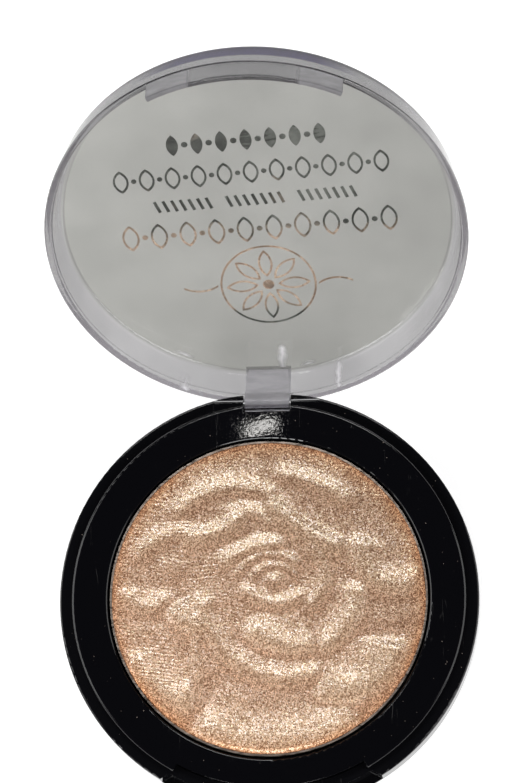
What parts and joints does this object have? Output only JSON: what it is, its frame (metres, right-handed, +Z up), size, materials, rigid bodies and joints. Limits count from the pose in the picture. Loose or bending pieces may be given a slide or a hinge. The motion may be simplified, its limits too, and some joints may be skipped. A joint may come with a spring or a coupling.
{
  "type": "pressed powder compact",
  "caption": "Round hinged make-up compact with a clear snap lid, a black two-part base and a metal pan of pressed highlighter powder.",
  "frame": {"origin": "centre of the flat underside of the base", "axes": "+Z up from the underside, +Y towards the hinge, -Y towards the latch, +X to the right seen from the latch; the lid is at rest standing open 130 degrees"},
  "size_m": [0.078, 0.1309, 0.0662],
  "materials": {
    "base_plastic": "high-gloss black with fine handling scratches",
    "deck_plastic": "high-gloss black with fine handling scratches and powder dust",
    "pan_metal": "bright drawn aluminium",
    "adhesive": "dull hot-melt glue",
    "powder": "pearlescent pressed powder, champagne to rose gold, with a cloth-press texture",
    "pin_steel": "drawn steel wire",
    "label_paper": "satin white label stock, blank",
    "clear_plastic": "clear polished styrene with a faint grey tint",
    "foil": "hot-stamped metallic foil, silver to rose gold"
  },
  "bodies": {
    "base": {"base_shell": "base_plastic", "deck_tray": "deck_plastic", "powder_pan": "pan_metal", "pan_adhesive": "adhesive", "powder_cake": "powder", "hinge_pin": "pin_steel", "base_label": "label_paper"},
    "lid": {"clear_lid": "clear_plastic", "foil_print": "foil"}
  },
  "joints": [
    {"name": "lid_hinge", "type": "hinge", "parent": "base", "child": "lid", "pos_m": [0, 0.0372, 0.0067], "axis": [-1, 0, 0], "range_deg": [-130, 5]}
  ]
}
